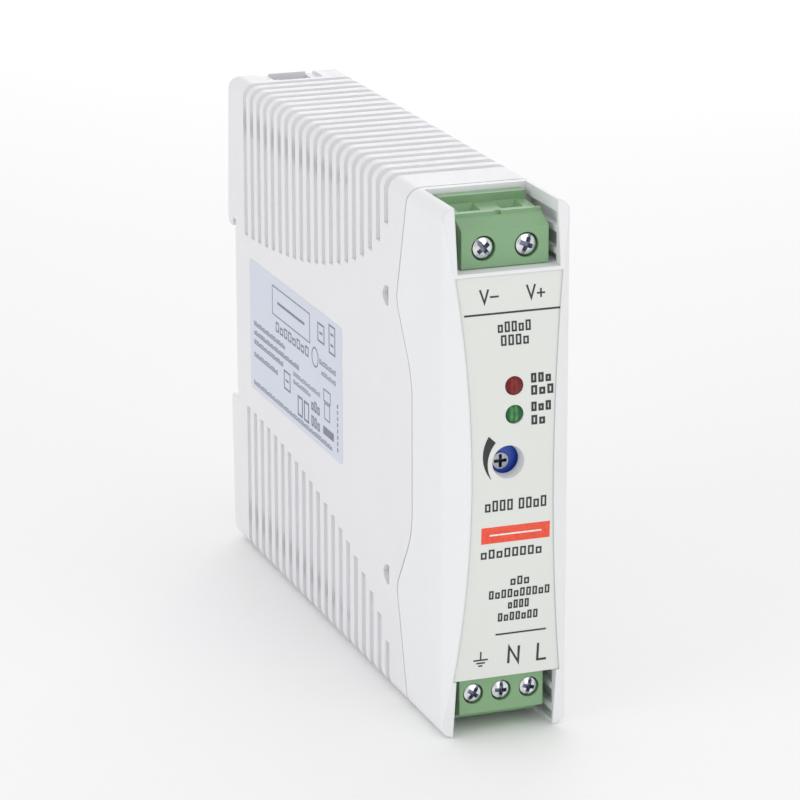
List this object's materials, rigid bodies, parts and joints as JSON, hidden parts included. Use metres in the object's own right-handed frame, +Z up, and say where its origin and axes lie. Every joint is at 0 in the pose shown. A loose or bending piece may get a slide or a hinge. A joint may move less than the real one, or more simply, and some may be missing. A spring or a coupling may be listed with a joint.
{
  "type": "din rail power supply",
  "caption": "Slim ribbed plastic power supply that snaps on a top-hat rail, with green screw terminals, indicator lamps and a trimmer on a bowed front.",
  "frame": {"origin": "centre of the rail seat: mid width, half way up the case, on the plane that touches the rail", "axes": "+X right as seen from the front, +Y back towards the rail, +Z up"},
  "size_m": [0.0227, 0.1189, 0.091],
  "materials": {
    "housing_plastic": "fine matt moulding",
    "cover_plastic": "fine matt moulding",
    "front_sheet": "satin polyester",
    "rating_sheet": "satin polyester",
    "latch_plastic": "fine matt moulding",
    "spring_steel": "drawn wire",
    "terminal_green": "satin moulding",
    "screw_zinc": "zinc plated",
    "clamp_steel": "zinc plated",
    "tinned_copper": "tin plated",
    "board_laminate": "solder mask",
    "black_moulding": "epoxy moulding",
    "lamp_red": "tinted clear epoxy",
    "lamp_green": "tinted clear epoxy",
    "trimmer_blue": "satin moulding",
    "rotor_cream": "satin moulding",
    "ferrite": "sintered",
    "copper_wire": "enamelled",
    "tape_yellow": "polyester tape",
    "bobbin_moulding": "phenolic",
    "can_sleeve": "shrink sleeve",
    "film_yellow": "cast box",
    "disc_green": "dipped epoxy",
    "disc_blue": "dipped epoxy",
    "heat_sink_metal": "mill finish",
    "resistor_coat": "lacquer",
    "insulating_film": "polyester film"
  },
  "bodies": {
    "case": {"rear_housing": "housing_plastic", "front_cover": "cover_plastic", "front_label": "front_sheet", "rating_label": "rating_sheet", "latch_spring": "spring_steel", "output_terminal_body": "terminal_green", "input_terminal_body": "terminal_green", "output_contacts": "tinned_copper", "input_contacts": "tinned_copper", "main_board": "board_laminate", "front_board": "board_laminate", "indicator_board": "board_laminate", "indicator_header": "black_moulding", "board_header": "black_moulding", "led_low": "lamp_red", "led_on": "lamp_green", "trimmer_body": "trimmer_blue", "fuse": "black_moulding", "inrush_thermistor": "disc_green", "varistor": "disc_blue", "x_capacitor": "film_yellow", "choke_core": "ferrite", "choke_windings": "copper_wire", "bridge_rectifier": "black_moulding", "transformer_core": "ferrite", "transformer_bobbin": "bobbin_moulding", "transformer_winding": "copper_wire", "transformer_tape": "tape_yellow", "control_chip": "black_moulding", "optocoupler": "black_moulding", "y_capacitor": "disc_blue", "bulk_capacitor": "can_sleeve", "output_capacitor_1": "can_sleeve", "output_capacitor_2": "can_sleeve", "inductor_core": "ferrite", "inductor_winding": "copper_wire", "switching_transistor": "black_moulding", "output_rectifier": "black_moulding", "primary_heat_sink": "heat_sink_metal", "secondary_heat_sink": "heat_sink_metal", "resistors": "resistor_coat", "diodes": "black_moulding", "insulation_sheet": "insulating_film"},
    "din_latch": {"din_latch": "latch_plastic"},
    "trimmer_rotor": {"trimmer_rotor": "rotor_cream"},
    "output_screw_1": {"output_screw_1": "screw_zinc"},
    "output_clamp_1": {"output_clamp_1": "clamp_steel"},
    "output_screw_2": {"output_screw_2": "screw_zinc"},
    "output_clamp_2": {"output_clamp_2": "clamp_steel"},
    "input_screw_1": {"input_screw_1": "screw_zinc"},
    "input_clamp_1": {"input_clamp_1": "clamp_steel"},
    "input_screw_2": {"input_screw_2": "screw_zinc"},
    "input_clamp_2": {"input_clamp_2": "clamp_steel"},
    "input_screw_3": {"input_screw_3": "screw_zinc"},
    "input_clamp_3": {"input_clamp_3": "clamp_steel"}
  },
  "joints": [
    {"name": "latch_slide", "type": "slide", "parent": "case", "child": "din_latch", "axis": [0, 0, -1], "range_m": [0, 0.0032], "stiffness_N_per_m": 1500, "springref_m": -0.004, "deforming": ["latch_spring"]},
    {"name": "trimmer_turn", "type": "hinge", "parent": "case", "child": "trimmer_rotor", "pos_m": [-0.001, -0.111, 0.0024], "axis": [0, 1, 0], "range_deg": [-130, 130]},
    {"name": "output_screw_1_turn", "type": "hinge", "parent": "case", "child": "output_screw_1", "pos_m": [-0.00355, -0.109, 0.0382], "axis": [0, 1, 0], "range_deg": [0, 1440]},
    {"name": "output_clamp_1_slide", "type": "slide", "parent": "case", "child": "output_clamp_1", "axis": [0, -1, 0], "range_m": [0, 0.002]},
    {"name": "output_screw_2_turn", "type": "hinge", "parent": "case", "child": "output_screw_2", "pos_m": [0.00395, -0.109, 0.0382], "axis": [0, 1, 0], "range_deg": [0, 1440]},
    {"name": "output_clamp_2_slide", "type": "slide", "parent": "case", "child": "output_clamp_2", "axis": [0, -1, 0], "range_m": [0, 0.002]},
    {"name": "input_screw_1_turn", "type": "hinge", "parent": "case", "child": "input_screw_1", "pos_m": [-0.005, -0.109, -0.03855], "axis": [0, 1, 0], "range_deg": [0, 1440]},
    {"name": "input_clamp_1_slide", "type": "slide", "parent": "case", "child": "input_clamp_1", "axis": [0, -1, 0], "range_m": [0, 0.0018]},
    {"name": "input_screw_2_turn", "type": "hinge", "parent": "case", "child": "input_screw_2", "pos_m": [0, -0.109, -0.03855], "axis": [0, 1, 0], "range_deg": [0, 1440]},
    {"name": "input_clamp_2_slide", "type": "slide", "parent": "case", "child": "input_clamp_2", "axis": [0, -1, 0], "range_m": [0, 0.0018]},
    {"name": "input_screw_3_turn", "type": "hinge", "parent": "case", "child": "input_screw_3", "pos_m": [0.005, -0.109, -0.03855], "axis": [0, 1, 0], "range_deg": [0, 1440]},
    {"name": "input_clamp_3_slide", "type": "slide", "parent": "case", "child": "input_clamp_3", "axis": [0, -1, 0], "range_m": [0, 0.0018]}
  ],
  "couplings": [
    {"joint": "output_screw_1_turn", "follows": "output_clamp_1_slide", "rad_per_m": 12565},
    {"joint": "output_screw_2_turn", "follows": "output_clamp_2_slide", "rad_per_m": 12565},
    {"joint": "input_screw_1_turn", "follows": "input_clamp_1_slide", "rad_per_m": 13961},
    {"joint": "input_screw_2_turn", "follows": "input_clamp_2_slide", "rad_per_m": 13961},
    {"joint": "input_screw_3_turn", "follows": "input_clamp_3_slide", "rad_per_m": 13961}
  ]
}
